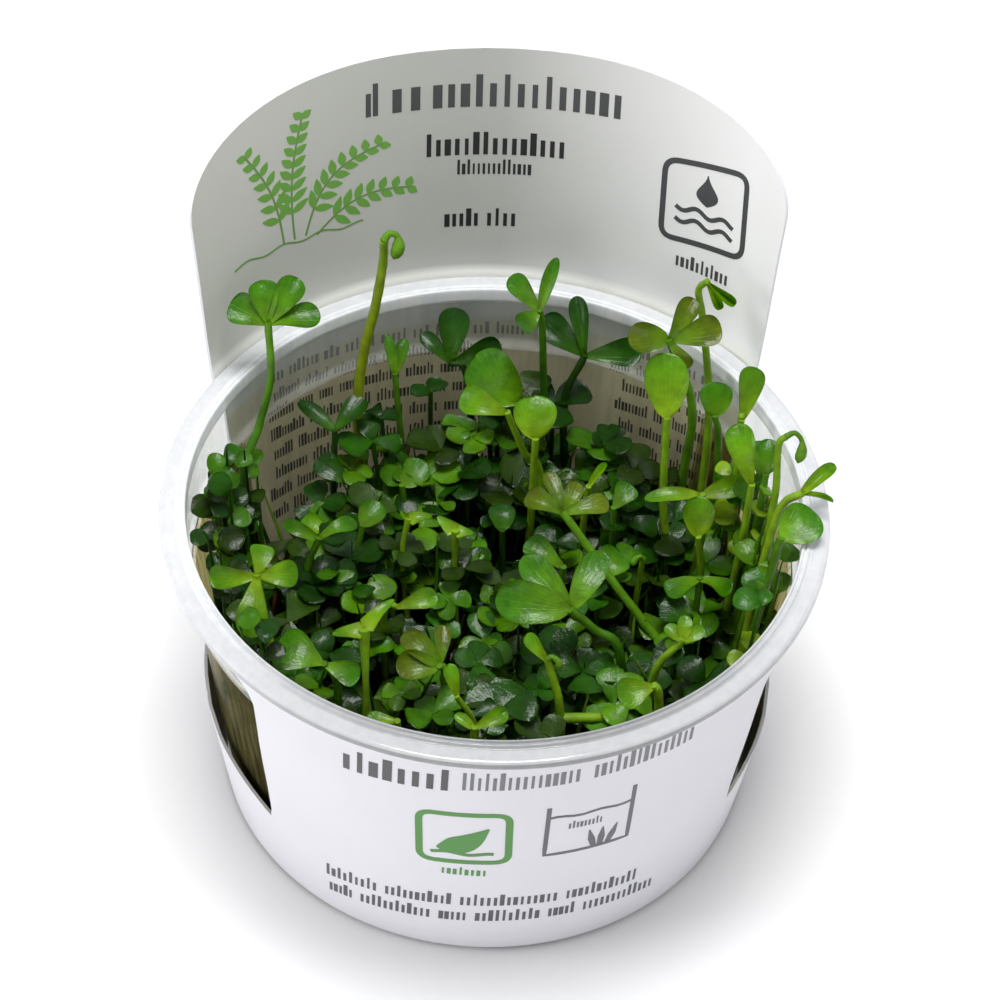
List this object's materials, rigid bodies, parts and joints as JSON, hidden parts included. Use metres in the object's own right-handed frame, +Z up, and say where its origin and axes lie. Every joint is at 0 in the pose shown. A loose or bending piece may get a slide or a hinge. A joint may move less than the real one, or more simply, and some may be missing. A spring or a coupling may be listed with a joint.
{
  "type": "tissue culture water clover in its jar",
  "caption": "Water clover grown in gel in a clear plastic cup with a flanged rim, in a card sleeve whose back stands up as a tall panel.",
  "frame": {"origin": "middle of the cup's flat underside", "axes": "+Z up through the cup's mouth, -Y towards the front of the card sleeve, +Y towards its tall back panel, +X to the right seen from the front"},
  "size_m": [0.1007, 0.107, 0.0961],
  "materials": {
    "clear_plastic": "clear, glossy",
    "white_card": "smooth coated, printed",
    "gel": "clear, wet",
    "mat": "leafy, wet",
    "leaf_bright": "satin, wet",
    "leaf_green": "satin, wet",
    "leaf_deep": "glossy, wet",
    "leaf_olive": "satin, wet"
  },
  "bodies": {
    "root": {"cup": "clear_plastic", "card_sleeve": "white_card", "nutrient_gel": "gel", "undergrowth": "mat", "crozier_tall": "leaf_bright", "blades_back_left": "leaf_green", "dark_clover_back": "leaf_deep", "big_leaf_back": "leaf_green", "sprig_back_centre": "leaf_green", "trio_back": "leaf_deep", "olive_clover_right": "leaf_olive", "crozier_right_back": "leaf_bright", "clover_tall_left": "leaf_bright", "pair_back_left": "leaf_deep", "leaf_left_back": "leaf_deep", "veined_leaf_back_left": "leaf_deep", "leaf_back_left_low": "leaf_green", "spoon_leaf": "leaf_bright", "bright_leaf_middle": "leaf_bright", "hooked_sprout_back": "leaf_bright", "folded_leaf_light": "leaf_bright", "round_leaf_right": "leaf_green", "tall_leaf_right": "leaf_bright", "wall_leaf_right": "leaf_green", "veined_leaf_right": "leaf_bright", "pointed_pair_right": "leaf_bright", "round_leaf_right_low": "leaf_bright", "pair_over_rim": "leaf_bright", "crozier_far_right": "leaf_bright", "round_leaf_far_right": "leaf_bright", "olive_lobed_leaf": "leaf_olive", "leaf_right_of_middle": "leaf_green", "small_crozier": "leaf_bright", "roof_leaf_pair": "leaf_green", "glossy_round_leaf": "leaf_deep", "three_leaf_front": "leaf_green", "round_leaf_middle": "leaf_green", "shaded_leaf_middle": "leaf_green", "dark_round_leaf": "leaf_deep", "round_leaf_small": "leaf_deep", "forked_sprout_middle": "leaf_bright", "flag_sprout": "leaf_bright", "leaf_left_of_middle": "leaf_green", "light_leaf_left": "leaf_bright", "curved_leaf_left": "leaf_bright", "low_leaf_far_left": "leaf_bright", "clover_front_left": "leaf_bright", "big_leaf_front_left": "leaf_bright", "arrow_leaf_front": "leaf_bright", "small_leaf_left_of_middle": "leaf_bright", "olive_pair_front": "leaf_olive", "three_lobe_sprout": "leaf_bright", "round_leaf_front_right": "leaf_bright", "runner_front": "leaf_bright", "stem_leaf_front": "leaf_bright", "forked_sprout_front": "leaf_bright", "light_leaf_front": "leaf_bright"}
  },
  "joints": []
}
